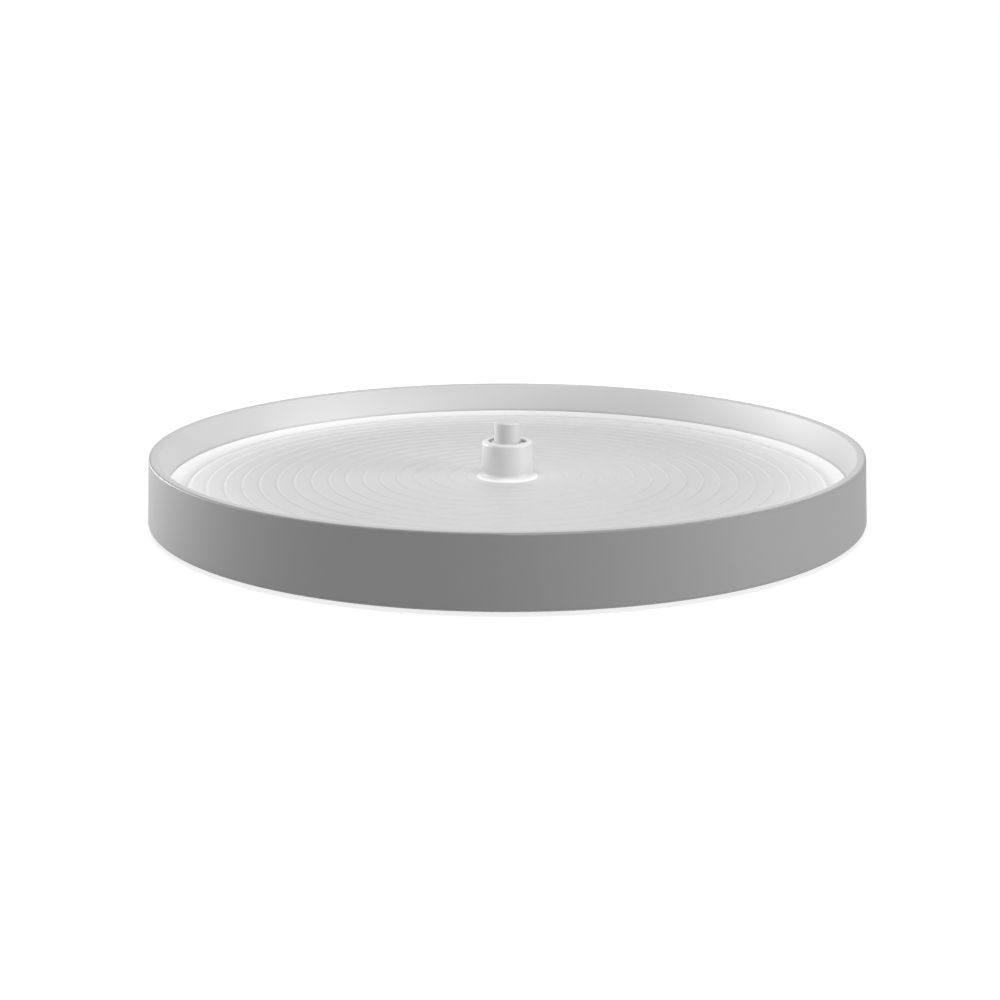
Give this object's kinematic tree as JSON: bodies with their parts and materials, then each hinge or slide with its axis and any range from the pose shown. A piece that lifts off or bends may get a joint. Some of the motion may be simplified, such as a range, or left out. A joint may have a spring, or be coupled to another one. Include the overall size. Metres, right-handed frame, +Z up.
{
  "type": "lazy susan turntable",
  "caption": "Round white turntable tray with a ribbed floor, grey outer skirt and centre post, turning on a hidden ring of balls above a base with rubber feet.",
  "frame": {"origin": "on the table, under the middle of the spindle", "axes": "+Z up along the spindle; X and Y lie in the table, with a foot on +X"},
  "size_m": [0.4098, 0.4098, 0.0508],
  "materials": {
    "white_plastic": "satin, moulded",
    "grey_plastic": "satin, moulded",
    "natural_acetal": "smooth",
    "race_steel": "pressed, zinc",
    "screw_steel": "zinc",
    "ball_steel": "polished",
    "foot_rubber": "matte"
  },
  "bodies": {
    "base": {"base_plate": "grey_plastic", "lower_race": "race_steel", "lower_race_screws": "screw_steel", "spindle": "white_plastic", "spindle_flange": "race_steel", "flange_screws": "screw_steel", "retaining_clip": "natural_acetal", "foot_1": "foot_rubber", "foot_2": "foot_rubber", "foot_3": "foot_rubber", "foot_4": "foot_rubber", "foot_5": "foot_rubber", "foot_6": "foot_rubber"},
    "tray": {"tray_floor": "white_plastic", "cove_ring": "white_plastic", "rim_ring": "white_plastic", "skirt_band": "grey_plastic", "hub_collar": "white_plastic", "hub_nut": "grey_plastic", "hub_bush": "natural_acetal", "thrust_washer": "natural_acetal", "upper_race": "race_steel", "upper_race_screws": "screw_steel"},
    "cage": {"ball_cage": "natural_acetal", "bearing_balls": "ball_steel"}
  },
  "joints": [
    {"name": "tray_spin", "type": "hinge", "parent": "base", "child": "tray", "pos_m": [0, 0, 0.01856], "axis": [0, 0, 1], "continuous": true},
    {"name": "cage_orbit", "type": "hinge", "parent": "base", "child": "cage", "pos_m": [0, 0, 0.00988], "axis": [0, 0, 1], "continuous": true}
  ],
  "couplings": [
    {"joint": "cage_orbit", "follows": "tray_spin", "ratio": 0.5}
  ]
}
